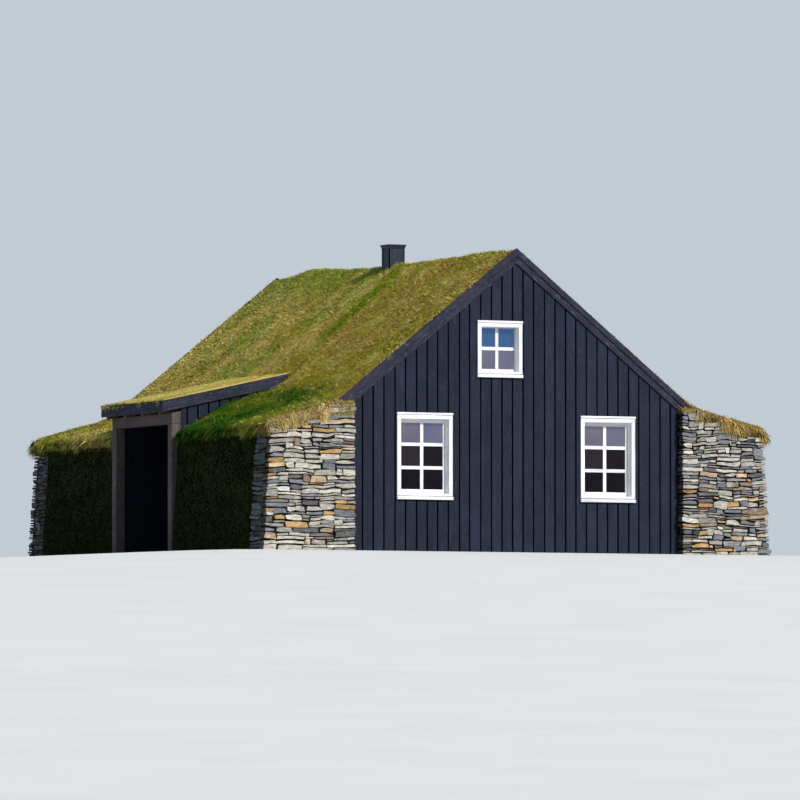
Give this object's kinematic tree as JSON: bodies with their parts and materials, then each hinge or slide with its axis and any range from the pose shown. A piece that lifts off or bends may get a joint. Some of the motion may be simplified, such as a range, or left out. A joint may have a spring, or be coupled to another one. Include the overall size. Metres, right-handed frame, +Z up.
{
  "type": "turf house",
  "caption": "Dark boarded gable house under a grass roof, with thick turf side walls, dry stone wall ends and a lean-to side porch.",
  "frame": {"origin": "on the ground under the middle of the timber house, on the underside of its floor", "axes": "+Z up, the front gable faces -Y, the porch is on the -X side"},
  "size_m": [9.75, 9.9, 5.4741],
  "materials": {
    "dark_boards": "tarred and stained vertical boards",
    "dark_trim": "dark stained sawn boards",
    "white_paint": "white painted joinery",
    "window_glass": "clear panes",
    "ledge_stone": "flat grey and rust ledge stones laid dry",
    "turf": "grass sod on earth",
    "raw_timber": "sawn softwood",
    "weathered_timber": "grey weathered driftwood tone",
    "floor_boards": "planed floor boards",
    "chimney_metal": "matt dark sheet"
  },
  "bodies": {
    "root": {"floor": "floor_boards", "loft_floor": "floor_boards", "front_wall": "dark_boards", "back_wall": "dark_boards", "right_wall": "dark_boards", "left_wall": "dark_boards", "door_frame": "white_paint", "door": "dark_trim", "front_right_stone_wall": "ledge_stone", "front_left_stone_wall": "ledge_stone", "back_left_stone_wall": "ledge_stone", "back_right_stone_wall": "ledge_stone", "right_turf_wall": "turf", "left_turf_wall_front": "turf", "left_turf_wall_rear": "turf", "right_roof_deck": "raw_timber", "left_roof_deck": "raw_timber", "right_roof_turf": "turf", "left_roof_turf": "turf", "chimney_shaft": "chimney_metal", "chimney_cap": "chimney_metal", "front_right_bargeboard": "dark_trim", "front_left_bargeboard": "dark_trim", "back_left_bargeboard": "dark_trim", "back_right_bargeboard": "dark_trim", "front_left_window": "white_paint", "front_right_window": "white_paint", "front_attic_window": "white_paint", "back_left_window": "white_paint", "back_right_window": "white_paint", "back_attic_window": "white_paint", "front_window_glass": "window_glass", "back_window_glass": "window_glass", "porch_front_wall": "dark_boards", "porch_rear_wall": "dark_boards", "porch_posts": "weathered_timber", "porch_beam": "weathered_timber", "porch_ledger": "raw_timber", "porch_rafters": "raw_timber", "porch_roof_deck": "raw_timber", "porch_roof_turf": "turf", "porch_front_bargeboard": "dark_trim", "porch_rear_bargeboard": "dark_trim", "porch_fascia": "dark_trim"}
  },
  "joints": []
}
